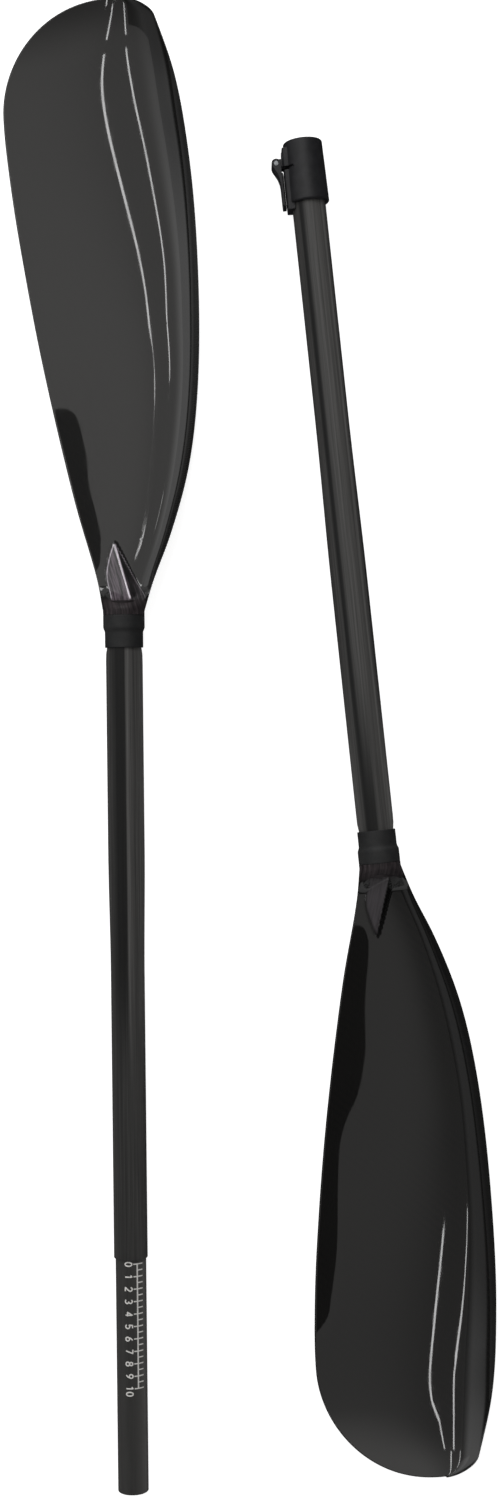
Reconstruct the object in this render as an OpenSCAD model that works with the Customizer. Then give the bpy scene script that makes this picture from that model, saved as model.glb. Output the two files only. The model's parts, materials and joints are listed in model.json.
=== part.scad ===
// Two-piece adjustable wing kayak paddle, its halves lying side by side, scooped faces up.
// Millimetres, +Z up, origin on the floor under the middle of the pair.
// Each half is drawn with its shaft along Y and its blade towards +Y, neck at y = 0.
// Stations along a blade are called u, places across it v, towards the curled edge positive.

/* [Blade] */
// Length of each blade from neck to tip
blade_len = 488; // [440:1:520]
// Depth of the scoop's valley below the shaft axis
scoop_depth = 33; // [26:1:38]
// Steepest rise of the flat side of the scoop
flat_slope = 0.21; // [0.12:0.01:0.3]
// Height that the leading edge curls up
curl_height = 12; // [6:1:16]
// How late the curl starts, a higher number keeps it nearer the edge
curl_power = 6; // [4:1:8]
// Thickness of each carbon skin
skin_t = 0.8; // [0.6:0.1:1.2]
// Thickness of the blade where its two skins meet at the edge
edge_t = 1.65; // [1.65:0.05:2.4]
// Thickness of the blade over its foam core
core_zone_t = 6.5; // [5:0.5:9]

/* [Neck] */
// Radius of the moulded neck
neck_r = 16.5; // [16:0.1:18]
// Length of the pointed ridge on the scooped face
ridge_len = 58; // [45:1:70]
// Length over which the round neck turns into the blade
neck_blend = 28; // [20:1:35]
// Depth that the shaft goes into the neck past its root
shaft_in_neck = 8; // [4:1:9]

/* [Shafts] */
// Outer radius of the round shafts
shaft_r = 13.5; // [13:0.1:15]
// Wall of the shafts and the ferrule
tube_wall = 1.2; // [1:0.1:1.6]
// Half-width of the oval hand grips
grip_r = 14.6; // [14:0.1:15.8]
// Length of the left shaft from the neck to its open end
left_len = 517; // [450:1:600]
// Length of the right half from the neck to the clamp's mouth
right_len = 584; // [500:1:650]
// Length of the even part of the left grip, then of its run-out
left_grip = [160, 100]; // [100:10:200]
// Length of the even part of the right grip, then of its run-out
right_grip = [195, 140]; // [100:10:240]

/* [Ferrule] */
// Length of ferrule that shows
ferrule_out = 189; // [150:1:220]
// Length of ferrule bonded into the left shaft
ferrule_in = 100; // [80:1:140]

/* [Clamp] */
// Length of the clamp collar
collar_len = 50; // [44:1:60]
// Length of shaft held in the collar
collar_hold = 20; // [15:1:24]
// Distance of the lever pin from the shaft axis
pin_x = 22.9; // [22:0.1:25]
// Distance of the lever pin from the mouth
pin_y = 17; // [15:1:20]
// Radius of the lever pin
pin_r = 1.9; // [1.5:0.1:2.2]
// Length of the lever from its pin to its free end
lever_len = 34.5; // [30:0.5:40]
// Height of the lever's barrel
lever_h = 18; // [14:1:20]
// Throw of the cam
cam_throw = 0.7; // [0.5:0.05:1]

/* [Layout] */
// Neck of the left half
left_at = [-99.6, 110.4]; // [-300:0.1:300]
// Neck of the right half
right_at = [104.2, -92.8]; // [-300:0.1:300]
// Turn of the left half seen from above, in degrees
left_yaw = 0.54; // [0:0.01:3]
// Turn of the right half seen from above, in degrees
right_yaw = 6.05; // [4:0.01:8]

/* [Hidden] */
$fn = 64;

carbon = "#2f2e2d";
satin_carbon = "#403c3a";
black_plastic = "#333335";
black_rubber = "#26272a";
foam = "#cfc9b8";
steel = "#b9bbbd";

// Gaps: a glued joint, a sliding fit, a turning fit and room around a moving piece
glue = 0.05;
slide_gap = 0.05;
turn_gap = 0.1;
free_gap = 0.15;
over = 1;

bore_r = shaft_r - tube_wall;
ferrule_r = bore_r - slide_gap;
// A shaft's bore is reamed by this much where the ferrule goes, and the ferrule's bonded end is
// turned down by as much to make room for the glue
ream = 0.2;

// The blade's curves are set out for a blade of this length and grow with it
drawn_len = 488;
k = blade_len / drawn_len;

// Places along the blade where its rows are closer together
neck_start = -3;
ridge_rows_end = 66;
corner_u = 395;
corner_r = drawn_len - corner_u;
neck_rows = 12;
middle_rows = 12;
corner_rows = 9;
tip_gap = 0.03;
cells_across = 16;

// Edges, valley line, valley height and valley radius as [u, value] points
trail_edge = [[0, 16.5], [26, 21.3], [90, 39.3], [200, 64.2], [300, 82.2], [360, 90.3],
              [corner_u, corner_r], [drawn_len, corner_r]];
lead_edge = [[0, 16.5], [26, 24.3], [58, 36.9], [106, 50.9], [154, 58.4], [218, 61.9],
             [298, 60.5], [362, 55.4], [426, 44.8], [474, 28.8], [drawn_len, 22.5]];
valley_line = [[0, 0], [26, 8], [58, 18], [106, 26], [190, 32], [240, 28.5], [290, 23],
               [376, 5.5], [426, -2.4], [drawn_len, 0]];
valley_depth = [[0, 0.06], [40, 0.3], [100, 0.58], [180, 0.85], [260, 1], [340, 0.98],
                [420, 0.79], [470, 0.55], [drawn_len, 0.4]];
valley_radius = [[0, 60], [58, 80], [190, 118], [240, 150], [290, 204], [376, 260],
                 [426, 236], [450, 180], [drawn_len, 110]];
body_thickness = [[0, 1.5], [60, 1.25], [150, 1], [350, 0.92], [440, 0.62], [drawn_len, 0.3]];

// The small rounded corner where the leading edge meets the tip
lead_corner = 14;
// Fullness of the thickness across the blade
fullness = 0.7;
// The ridge's crest crosses from the leading side to its point on the trailing side
crest_root_v = 7.9;
crest_tip_v = -8;
ridge_wide = [16, 14];
ridge_fall = 0.85;
ridge_flank = 1.5;
// Low swelling that carries the neck into the back of the blade
spine_h = 3;
spine_len = 150;
spine_half = 14;
// Where the skins stop being solid and leave room for the core
solid_end = 30;
hollow_start = 62;
core_span = [66, 462];
// Columns left out along each edge of the core
core_inset = 2;

// Neck socket under the rubber sleeve
socket_start = -15;
socket_r = 15.3;
sleeve_end = -29;
sleeve_small_r = 15.2;
grip_start = -29.5;
lobe_slimmer = 1;
plug_len = 25;
plug_in = 20;
edge_round = 1;

// Clamp: radii of its collar from the mouth to the blade end
collar_mouth_r = 15.8;
collar_end_r = 16.7;
mouth_hole_r = 12.6;
mouth_lip = 1.5;
ear_face = 17.5;
ear_half = 9;
ear_start = 5;
ear_root = 12;
ear_tail = 5;
ear_round = 2;
slot_at = 21.5;
slot_w = 2.6;
slot_end_x = 10.7;
window = [7.5, 20.5];
window_half = 4.2;
barrel_r = 3.75;
cam_r = 3.9;
lug_t = 2.4;
// Outer side of the lever's arm from its tip back to the barrel, as [x, y] from the pin
arm_outer = [[2.0, lever_len], [2.4, 27], [2.4, 20], [1.6, 13], [0.4, 8.8], [-1.4, 5.5], [-3.2, 2.2]];
arm_gap = 1.6;
// The stiffening rib behind the arm's lower half, and its clearance from the ear
rib_start = 5.2;
rib_h = 8;
rib_gap = 0.3;
bush_slit = 2;
bush_wall = 1.1;
bush_end_gap = 0.7;
socket_depth = 195;
socket_plug_len = 18;
ferrule_plug_len = 10;
ferrule_plug_in = 1.5;

// --- Curves ---------------------------------------------------------------

function mix(a, b, t) = a + (b - a) * t;
function ease(t) = let (c = max(0, min(1, t))) c * c * (3 - 2 * c);

// A smooth curve through [x, y] points
function span_of(p, x, i = 0) = i >= len(p) - 2 || x < p[i + 1][0] ? i : span_of(p, x, i + 1);
function rise(p, a, b) = (p[b][1] - p[a][1]) / (p[b][0] - p[a][0]);
function slope_at(p, i) = rise(p, max(0, i - 1), min(len(p) - 1, i + 1));
function smooth(p, x) =
    let (i = span_of(p, x),
         h = p[i + 1][0] - p[i][0],
         t = max(0, min(1, (x - p[i][0]) / h)),
         s = 1 - t)
    (1 + 2 * t) * s * s * p[i][1]
    + t * s * s * h * slope_at(p, i)
    + t * t * (3 - 2 * t) * p[i + 1][1]
    - t * t * s * h * slope_at(p, i + 1);

// A quarter round that closes an edge to nothing at the tip
function close_tip(u, start) =
    u <= start ? 1 : sqrt(max(0, 1 - pow((u - start) / (drawn_len - start), 2)));

function trail(u) = -smooth(trail_edge, u) * close_tip(u, corner_u);
function lead(u) = smooth(lead_edge, u) * close_tip(u, drawn_len - lead_corner);
function across(u, t) = mix(trail(u), lead(u), (t + 1) / 2);

// --- Blade surfaces, all for a blade of the drawn length ------------------

// Flat side: a hyperbola that settles to an even slope
function flat_side(u, w) =
    let (a = flat_slope * smooth(valley_radius, u)) flat_slope * (sqrt(w * w + a * a) - a);

// Curled side: a shallow bowl with a late, steep curl at the leading edge
function curl_side(u, w) =
    w * w / (2 * smooth(valley_radius, u))
    + curl_height * ease((u + 20) / 110) * (1 - 0.75 * ease((u - 390) / 98))
      * pow(w / (lead(u) - smooth(valley_line, u)), curl_power);

function face(u, v) =
    let (w = v - smooth(valley_line, u))
    -scoop_depth * smooth(valley_depth, u) + (w < 0 ? flat_side(u, w) : curl_side(u, w));

// How much longer a slanted wall is than its height
function steepness(u, v) = norm([1, min(2, abs(face(u, v + 0.5) - face(u, v - 0.5)))]);

function ridge(u, v) =
    let (f = max(0, u) / ridge_len,
         crest = mix(crest_root_v, crest_tip_v, f),
         half = v < crest ? ridge_wide[0] * (1 - pow(f, 3)) : ridge_wide[1] * (1 - pow(f, 1.5)),
         root_h = neck_r + scoop_depth * valley_depth[0][1])
    f >= 1 ? 0
           : root_h * pow(1 - f, ridge_fall) * pow(max(0, 1 - abs(v - crest) / half), ridge_flank);

function spine(u, v) = spine_h * (1 - ease(u / spine_len)) * exp(-pow(v / spine_half, 2));

function thickness(u, t) =
    mix(edge_t, max(edge_t, core_zone_t * smooth(body_thickness, u)),
        pow(max(0, 1 - t * t), fullness));

function neck_share(u) = 1 - ease((u - 1) / neck_blend);
function neck_half(t) = skin_t + (neck_r - skin_t) * sqrt(max(0, 1 - t * t));

function upper(u, t) =
    let (v = across(u, t)) mix(face(u, v) + ridge(u, v), neck_half(t), neck_share(u));
function lower(u, t) =
    let (v = across(u, t))
    mix(face(u, v) - thickness(u, t) * steepness(u, v) - spine(u, v), -neck_half(t), neck_share(u));
function parting(u, t) = (upper(u, t) + lower(u, t)) / 2;

// The skins are solid at the neck and thin over the core
function wall(u, t) =
    (skin_t + neck_r * (1 - ease((u - solid_end) / (hollow_start - solid_end))))
    * steepness(u, across(u, t));
function face_inside(u, t) = max(parting(u, t) + glue / 2, upper(u, t) - wall(u, t));
function back_inside(u, t) = min(parting(u, t) - glue / 2, lower(u, t) + wall(u, t));

// Rows: even along the neck and the middle, closing up round the tip corner
rows = concat(
    [for (i = [0 : neck_rows - 1]) mix(neck_start, ridge_rows_end, i / neck_rows)],
    [for (i = [0 : middle_rows - 1]) mix(ridge_rows_end, corner_u, i / middle_rows)],
    [for (i = [0 : corner_rows]) min(drawn_len - tip_gap, corner_u + corner_r * sin(90 * i / corner_rows))]);
columns = [for (j = [0 : cells_across]) -cos(180 * j / cells_across)];

// The core shares the skins' rows and columns, so that its facets lie along theirs
core_rows = [for (u = rows) if (u >= core_span[0] && u <= core_span[1]) u];
core_columns = [for (j = [core_inset : cells_across - core_inset]) columns[j]];

function sheet(us, ts, height) = [for (u = us) [for (t = ts) k * [across(u, t), u, height(u, t)]]];

// A closed solid between two grids of points, the first one on top
module slab(top, bottom) {
    n = len(top);
    m = len(top[0]);
    low = n * m;
    points = concat([for (row = top) each row], [for (row = bottom) each row]);
    cells = [for (i = [0 : n - 2], j = [0 : m - 2]) i * m + j];
    faces = concat(
        [for (a = cells) [a, a + m, a + m + 1]],
        [for (a = cells) [a, a + m + 1, a + 1]],
        [for (a = cells) [low + a, low + a + m + 1, low + a + m]],
        [for (a = cells) [low + a, low + a + 1, low + a + m + 1]],
        [for (i = [0 : n - 2]) let (a = i * m) [a + m, a, low + a, low + a + m]],
        [for (i = [0 : n - 2]) let (a = i * m + m - 1) [a, a + m, low + a + m, low + a]],
        [for (j = [0 : m - 2]) [j, j + 1, low + j + 1, low + j]],
        [for (j = [0 : m - 2]) let (a = (n - 1) * m + j) [a + 1, a, low + a, low + a + 1]]);
    polyhedron(points = points, faces = faces, convexity = 6);
}

// --- Round pieces along the shaft -----------------------------------------

// A solid turned about the shaft axis from [radius, y] points
module turned(profile) {
    rotate([-90, 0, 0])
        rotate_extrude()
            polygon(profile);
}

module rod(r, y0, y1) {
    translate([0, y0, 0])
        rotate([-90, 0, 0])
            cylinder(r = r, h = y1 - y0);
}

module tube(r_out, r_in, y0, y1) {
    difference() {
        rod(r_out, y0, y1);
        rod(r_in, y0 - over, y1 + over);
    }
}

// --- Sub-parts that both halves have ---------------------------------------

// The neck's tube under the sleeve, cut to its own side of the parting plane
module neck_socket(side) {
    intersection() {
        rod(socket_r, socket_start, neck_start + over);
        translate([-neck_r, socket_start - over, side > 0 ? glue / 2 : -neck_r - glue / 2])
            cube([2 * neck_r, over - socket_start, neck_r]);
    }
}

module blade_face() {
    color(carbon)
        difference() {
            union() {
                slab(sheet(rows, columns, function (u, t) upper(u, t)),
                     sheet(rows, columns, function (u, t) face_inside(u, t)));
                neck_socket(1);
            }
            rod(shaft_r + glue, socket_start - over, shaft_in_neck + glue);
        }
}

module blade_back() {
    color(carbon)
        difference() {
            union() {
                slab(sheet(rows, columns, function (u, t) back_inside(u, t)),
                     sheet(rows, columns, function (u, t) lower(u, t)));
                neck_socket(-1);
            }
            rod(shaft_r + glue, socket_start - over, shaft_in_neck + glue);
        }
}

module blade_core() {
    color(foam)
        slab(sheet(core_rows, core_columns, function (u, t) face_inside(u, t) - glue),
             sheet(core_rows, core_columns, function (u, t) back_inside(u, t) + glue));
}

module neck_sleeve() {
    color(black_rubber)
        turned([[shaft_r + glue, sleeve_end], [sleeve_small_r, sleeve_end],
                [sleeve_small_r, socket_start - over], [neck_r, socket_start + over],
                [neck_r, neck_start - glue], [socket_r + glue, neck_start - glue],
                [socket_r + glue, socket_start - glue], [shaft_r + glue, socket_start - glue]]);
}

// The oval of a hand grip: a slimmer round lobe on each side that sinks back into the shaft
module grip_lobe(side, even, run_out) {
    lobe_r = shaft_r - lobe_slimmer;
    sunk_r = lobe_r - (grip_r - shaft_r) - turn_gap;
    even_end = grip_start - even;
    translate([side * (grip_r - lobe_r), 0, 0])
        turned([[0, grip_start], [lobe_r, grip_start], [lobe_r, even_end],
                [sunk_r, even_end - run_out], [0, even_end - run_out]]);
}

// A shaft bored to take the ferrule from its open end, with the oval of its hand grip
module shaft(open_end, grip, bored) {
    color(satin_carbon)
        difference() {
            union() {
                rod(shaft_r, -open_end, shaft_in_neck);
                for (side = [-1, 1])
                    grip_lobe(side, grip[0], grip[1]);
            }
            rod(bore_r - ream, -open_end, shaft_in_neck + over);
            rod(bore_r, -open_end - over, bored - open_end);
        }
}

module shaft_plug() {
    color(foam)
        rod(bore_r - ream - glue, -plug_in, plug_len - plug_in);
}

// --- Ferrule --------------------------------------------------------------

ferrule_end = -left_len - ferrule_out;

module ferrule() {
    inner = ferrule_r - tube_wall;
    bonded_r = ferrule_r - ream;
    color(carbon)
        turned([[inner, ferrule_end], [ferrule_r - edge_round, ferrule_end],
                [ferrule_r, ferrule_end + edge_round], [ferrule_r, -left_len], [bonded_r, -left_len],
                [bonded_r, ferrule_in - left_len - glue], [inner, ferrule_in - left_len - glue]]);
}

module ferrule_stopper() {
    start = ferrule_end + ferrule_plug_in;
    color(black_plastic)
        rod(ferrule_r - tube_wall - glue, start, start + ferrule_plug_len);
}

// --- Clamp, drawn from the mouth at y = 0 ----------------------------------

module at_mouth() {
    translate([0, -right_len, 0])
        children();
}

module upright(r, h) {
    cylinder(r = r, h = h, center = true);
}

// A block on the lever's side of the collar with rounded outer edges
module ear(y0, y1) {
    hull() {
        for (z = [-1, 1])
            translate([-ear_face + ear_round, y0, z * (ear_half - ear_round)])
                rotate([-90, 0, 0])
                    cylinder(r = ear_round, h = y1 - y0, $fn = 32);
        translate([-ear_root, y0, -ear_half])
            cube([over, y1 - y0, 2 * ear_half]);
    }
}

// One of the two lugs that hold the pin between the lever's barrel and its cam, or its space
module lug(side, gap = 0) {
    h = lug_t + 2 * gap;
    translate([-pin_x, pin_y, side * (window_half + free_gap + lug_t / 2)]) {
        upright(barrel_r + 2 * gap, h);
        translate([0, -barrel_r - 2 * gap, -h / 2])
            cube([pin_x - slot_end_x, 2 * barrel_r - over + 4 * gap, h]);
    }
}

module collar() {
    color(black_plastic)
        difference() {
            union() {
                turned([[0, 0], [collar_mouth_r - edge_round, 0], [collar_mouth_r, edge_round],
                        [collar_end_r, collar_len - edge_round],
                        [collar_end_r - edge_round, collar_len], [0, collar_len]]);
                ear(ear_start, slot_at);
                ear(slot_at, collar_len + ear_tail);
                lug(1);
                lug(-1);
            }
            rod(mouth_hole_r, -over, mouth_lip + over);
            rod(shaft_r + glue, mouth_lip, collar_len + ear_tail + over);
            translate([-ear_face - over, slot_at - slot_w / 2, -neck_r])
                cube([ear_face + over - slot_end_x, slot_w, 2 * neck_r]);
            translate([-slot_end_x, slot_at, 0])
                upright(slot_w / 2, 2 * neck_r);
            translate([-ear_face - over, window[0], -window_half])
                cube([ear_face + over - slot_end_x, window[1] - window[0], 2 * window_half]);
            translate([-pin_x, pin_y, 0])
                upright(pin_r + glue / 2, 2 * neck_r);
        }
}

module bush() {
    color(black_plastic)
        difference() {
            tube(bore_r + bush_wall, bore_r, mouth_lip + free_gap,
                 collar_len - collar_hold - bush_end_gap);
            translate([0, 0, -bush_slit / 2])
                cube([shaft_r, collar_len, bush_slit]);
        }
}

// The block that the cam drives in through the collar's window against the bush
module shoe() {
    outer = pin_x - cam_r - cam_throw - turn_gap;
    color(black_plastic)
        difference() {
            translate([-outer, window[0] + free_gap, free_gap - window_half])
                cube([outer - slot_end_x - free_gap, window[1] - window[0] - 2 * free_gap,
                      2 * (window_half - free_gap)]);
            rod(shaft_r, -over, collar_len);
        }
}

module lever() {
    inside = pin_x - ear_face - arm_gap;
    color(black_plastic)
        difference() {
            translate([-pin_x, pin_y, 0]) {
                upright(barrel_r, lever_h);
                translate([cam_throw, 0, 0])
                    upright(cam_r, 2 * (window_half - turn_gap));
                linear_extrude(height = lever_h, center = true)
                    polygon(concat([[-barrel_r, 0], [inside, 0], [inside, lever_len]], arm_outer));
                translate([arm_outer[0][0], rib_start, -lever_h / 2])
                    cube([pin_x - ear_face - rib_gap - arm_outer[0][0], lever_len - rib_start, rib_h]);
            }
            lug(1, free_gap);
            lug(-1, free_gap);
            translate([-pin_x, pin_y, 0])
                upright(pin_r + slide_gap, lever_h + over);
        }
}

module hinge_pin() {
    color(steel)
        translate([-pin_x, pin_y, 0])
            upright(pin_r, lever_h);
}

// --- Rest: each half lies on its blade's back and on its far end -----------

back_points = [for (row = sheet(rows, columns, function (u, t) lower(u, t))) each row];
ferrule_points = [[0, ferrule_end, edge_round - ferrule_r], [0, ferrule_end + edge_round, -ferrule_r]];
collar_points = [[0, -right_len, edge_round - collar_mouth_r],
                 [0, edge_round - right_len, -collar_mouth_r],
                 [0, collar_len - edge_round - right_len, -collar_end_r]];

function tipped(p, tilt) = [p[0], p[1] * cos(tilt) - p[2] * sin(tilt), p[1] * sin(tilt) + p[2] * cos(tilt)];
function lowest(points, tilt) = min([for (p = points) tipped(p, tilt)[2]]);
// Tips a half until both of its ends touch the floor
function settle(ends, tilt = 0, tries = 6) =
    let (gap = lowest(back_points, tilt) - lowest(ends, tilt),
         reach = blade_len / 2 - ends[0][1])
    tries == 0 ? tilt : settle(ends, tilt - atan(gap / reach), tries - 1);

left_tilt = settle(ferrule_points);
right_tilt = settle(collar_points);
left_z = -lowest(back_points, left_tilt);
right_z = -lowest(back_points, right_tilt);

function turned_by(p, yaw) = [p[0] * cos(yaw) - p[1] * sin(yaw), p[0] * sin(yaw) + p[1] * cos(yaw), p[2]];
function left_place(p) = turned_by(tipped(p, left_tilt), left_yaw) + [left_at[0], left_at[1], left_z];
function right_place(p) =
    let (q = tipped(p, right_tilt))
    turned_by([q[0], -q[1], q[2]], right_yaw) + [right_at[0], right_at[1], right_z];

// The middle of the pair's box becomes the origin
outline = [for (h = [function (u, t) upper(u, t), function (u, t) lower(u, t)])
           each [for (row = sheet(rows, [-1, 1], h)) each row]];
extent = concat(
    [for (p = outline) left_place(p)],
    [for (p = outline) right_place(p)],
    [for (side = [-1, 1]) left_place([0, ferrule_end, side * (ferrule_r - edge_round)])]);
middle = [for (axis = [0, 1]) (min([for (p = extent) p[axis]]) + max([for (p = extent) p[axis]])) / 2];

module left_half() {
    translate([left_at[0] - middle[0], left_at[1] - middle[1], left_z])
        rotate([left_tilt, 0, left_yaw])
            children();
}

module right_half() {
    translate([right_at[0] - middle[0], right_at[1] - middle[1], right_z])
        rotate([0, 0, right_yaw])
            mirror([0, 1, 0])
                rotate([right_tilt, 0, 0])
                    children();
}

// --- Nodes ----------------------------------------------------------------

module left_blade_face() { left_half() blade_face(); }
module left_blade_back() { left_half() blade_back(); }
module left_blade_core() { left_half() blade_core(); }
module left_shaft() { left_half() shaft(left_len, left_grip, ferrule_in); }
module left_neck_sleeve() { left_half() neck_sleeve(); }
module left_shaft_plug() { left_half() shaft_plug(); }
module ferrule_tube() { left_half() ferrule(); }
module ferrule_plug() { left_half() ferrule_stopper(); }
module right_blade_face() { right_half() blade_face(); }
module right_blade_back() { right_half() blade_back(); }
module right_blade_core() { right_half() blade_core(); }
module right_shaft() {
    hidden = collar_len - collar_hold;
    right_half() shaft(right_len - hidden, right_grip, socket_depth - hidden);
}
module right_neck_sleeve() { right_half() neck_sleeve(); }
module right_shaft_plug() { right_half() shaft_plug(); }
module socket_plug() {
    color(foam)
        right_half()
            at_mouth()
                rod(bore_r - ream - glue, socket_depth, socket_depth + socket_plug_len);
}
module clamp_collar() { right_half() at_mouth() collar(); }
module grip_bush() { right_half() at_mouth() bush(); }
module pressure_shoe() { right_half() at_mouth() shoe(); }
module cam_lever() { right_half() at_mouth() lever(); }
module lever_pin() { right_half() at_mouth() hinge_pin(); }

left_blade_face();
left_blade_back();
left_blade_core();
left_shaft();
left_neck_sleeve();
left_shaft_plug();
ferrule_tube();
ferrule_plug();
right_blade_face();
right_blade_back();
right_blade_core();
right_shaft();
right_neck_sleeve();
right_shaft_plug();
socket_plug();
clamp_collar();
grip_bush();
pressure_shoe();
cam_lever();
lever_pin();
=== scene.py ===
"""Looks of the two-piece wing paddle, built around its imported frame.

Each half has its own frame of reference: Y along its shaft towards the blade, Z up, X to the right of Y.
Along a blade a place is u, from its neck, and v is across it, positive towards the curled leading edge.
Sizes are in millimetres until a mesh is made.
"""

import json
import math

import bmesh
import bpy
import numpy as np
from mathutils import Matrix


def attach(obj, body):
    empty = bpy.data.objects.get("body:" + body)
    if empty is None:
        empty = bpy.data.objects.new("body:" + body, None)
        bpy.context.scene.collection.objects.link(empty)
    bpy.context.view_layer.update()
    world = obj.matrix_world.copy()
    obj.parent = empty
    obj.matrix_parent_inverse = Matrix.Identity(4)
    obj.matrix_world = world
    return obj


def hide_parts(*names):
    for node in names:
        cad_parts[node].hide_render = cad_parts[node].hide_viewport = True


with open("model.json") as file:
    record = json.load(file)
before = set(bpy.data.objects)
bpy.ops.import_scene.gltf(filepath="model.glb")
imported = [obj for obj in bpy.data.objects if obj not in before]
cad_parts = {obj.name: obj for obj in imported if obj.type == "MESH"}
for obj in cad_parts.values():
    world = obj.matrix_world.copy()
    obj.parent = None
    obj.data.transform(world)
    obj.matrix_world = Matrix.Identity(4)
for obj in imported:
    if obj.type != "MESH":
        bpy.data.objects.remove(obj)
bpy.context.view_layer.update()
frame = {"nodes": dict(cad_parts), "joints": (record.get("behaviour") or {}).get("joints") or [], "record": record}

MM = 0.001
mounts = {m["name"]: m for m in frame["record"]["mounts"]}
joints = {j["name"]: j for j in frame["joints"]}

# --- Sizes that the frame's parts were drawn to ---------------------------------

BLADE_LEN = 488.0
SCOOP_DEPTH = 33.0
FLAT_SLOPE = 0.21
CURL_HEIGHT = 12.0
CURL_POWER = 6
SKIN_T = 0.8
EDGE_T = 1.65
CORE_T = 6.5
NECK_R = 16.5
SHAFT_R = 13.5
BORE_R = 12.3
BONDED_R = 12.1
GRIP_R = 14.6
GRIP_START = -29.5
SHAFT_IN_NECK = 8.0
LEFT_LEN = 517.0
RIGHT_LEN = 584.0
FERRULE_R = 12.25
FERRULE_OUT = 189.0
FERRULE_IN = 100.0
FERRULE_WALL = 1.2
# The ferrule's glued end is turned down by this much
REAM = 0.2
SOCKET_DEPTH = 195.0
COLLAR_LEN = 50.0
COLLAR_HOLD = 20.0
GLUE = 0.05
# Along a neck: its blade's first row, the socket under the sleeve, the sleeve, and how far it goes on
# turning into the blade
BLADE_START = -3.0
NECK_SOCKET_START = -15.0
NECK_SOCKET_R = 15.3
SLEEVE_START = -29.0
SLEEVE_R = 15.2
SLEEVE_BORE_R = 15.35
NECK_BLEND = 28.0
# Where a blade's skins stop being solid and leave room for the core
SOLID_END = 30.0
HOLLOW_START = 62.0
FULLNESS = 0.7
SPINE_H = 3.0
SPINE_LEN = 150.0
SPINE_HALF = 14.0
LEAD_CORNER = 14.0

# --- Frames of the two halves -----------------------------------------------------


def unit(v):
    v = np.array(v, float)
    return v / np.linalg.norm(v)


def half_frame(along, origin):
    """The matrix, in metres, that places a half drawn along Y."""
    side = unit(np.cross(along, (0, 0, 1)))
    up = np.cross(side, along)
    m = np.eye(4)
    m[:3, 0], m[:3, 1], m[:3, 2], m[:3, 3] = side, along, up, origin
    return m


left_along = -unit(mounts["ferrule"]["axis"])
left_neck = np.array(mounts["ferrule"]["pos_m"]) + left_along * (LEFT_LEN + FERRULE_OUT / 2) * MM
left_half = half_frame(left_along, left_neck)

right_along = unit(joints["feather_turn"]["axis"])
right_neck = np.array(joints["feather_turn"]["pos_m"]) + right_along * RIGHT_LEN * MM
right_half = half_frame(right_along, right_neck)

# --- Mesh pieces ------------------------------------------------------------------


def make_piece(name, verts, faces, placing, body, mat, stands_for=(), sharp=40, marks=()):
    """A mesh piece from points in millimetres in a half's frame, which its materials read from "half"."""
    verts = np.asarray(verts, float)
    mesh = bpy.data.meshes.new(name)
    mesh.from_pydata((verts * MM @ placing[:3, :3].T + placing[:3, 3]).tolist(), [],
                     [list(map(int, f)) for f in faces])
    mesh.update()
    mesh.attributes.new("half", "FLOAT_VECTOR", "POINT").data.foreach_set("vector", verts.ravel())
    for mark, values in dict(marks).items():
        mesh.attributes.new(mark, "FLOAT", "POINT").data.foreach_set("value", values)
    bm = bmesh.new()
    bm.from_mesh(mesh)
    bmesh.ops.recalc_face_normals(bm, faces=bm.faces)
    bm.to_mesh(mesh)
    bm.free()
    mesh.polygons.foreach_set("use_smooth", [True] * len(mesh.polygons))
    mesh.set_sharp_from_angle(angle=math.radians(sharp))
    mesh.materials.append(mat)
    obj = bpy.data.objects.new(name, mesh)
    bpy.context.scene.collection.objects.link(obj)
    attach(obj, body)
    if stands_for:
        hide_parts(*stands_for)
    return obj


def grid_faces(rows, cols, start=0, closed=False):
    """Quads between the points of a grid; a closed grid joins its last column to its first."""
    i, j = np.meshgrid(np.arange(rows - 1), np.arange(cols if closed else cols - 1), indexing="ij")
    a = start + i * cols + j
    b = start + i * cols + (j + 1) % cols
    return np.stack([a, b, b + cols, a + cols], -1).reshape(-1, 4)


def slab(top, bottom):
    """A closed solid between two grids of points, as (points, faces)."""
    n, m = top.shape[:2]
    low = n * m
    faces = [grid_faces(n, m), grid_faces(n, m, low)[:, ::-1]]
    rim = np.concatenate([
        np.arange(m), np.arange(1, n) * m + m - 1,
        (n - 1) * m + np.arange(m - 2, -1, -1), np.arange(n - 2, 0, -1) * m])
    faces.append(np.stack([rim, np.roll(rim, -1), np.roll(rim, -1) + low, rim + low], -1))
    return np.concatenate([top.reshape(-1, 3), bottom.reshape(-1, 3)]), np.concatenate(faces)


def turned(profile, sides=96, wide=None):
    """A closed ring solid from a closed loop of (radius, y); wide(y) widens its X by a factor."""
    profile = np.asarray(profile, float)
    angle = 2 * np.pi * np.arange(sides) / sides
    r, y = profile[:, 0, None], profile[:, 1, None]
    stretch = 1 if wide is None else wide(r, y)
    points = np.stack([stretch * r * np.cos(angle), y + 0 * angle, r * np.sin(angle)], -1)
    loop = np.concatenate([points, points[:1]])
    faces = grid_faces(len(loop), sides, closed=True) % (len(points) * sides)
    return points.reshape(-1, 3), faces


def rounded(profile, radius, steps=4):
    """A closed loop of (radius, y) with its corners rounded, by one radius or one for each corner."""
    profile = np.asarray(profile, float)
    radii = np.broadcast_to(radius, len(profile))
    out = []
    for i, p in enumerate(profile):
        a, b = profile[i - 1], profile[(i + 1) % len(profile)]
        reach = min(radii[i], 0.45 * np.linalg.norm(a - p), 0.45 * np.linalg.norm(b - p))
        if reach < 0.01:
            out.append(p)
            continue
        start, end = p + unit(a - p) * reach, p + unit(b - p) * reach
        for t in np.linspace(0, 1, steps + 1):
            out.append((1 - t) ** 2 * start + 2 * t * (1 - t) * p + t ** 2 * end)
    return np.array(out)


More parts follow.
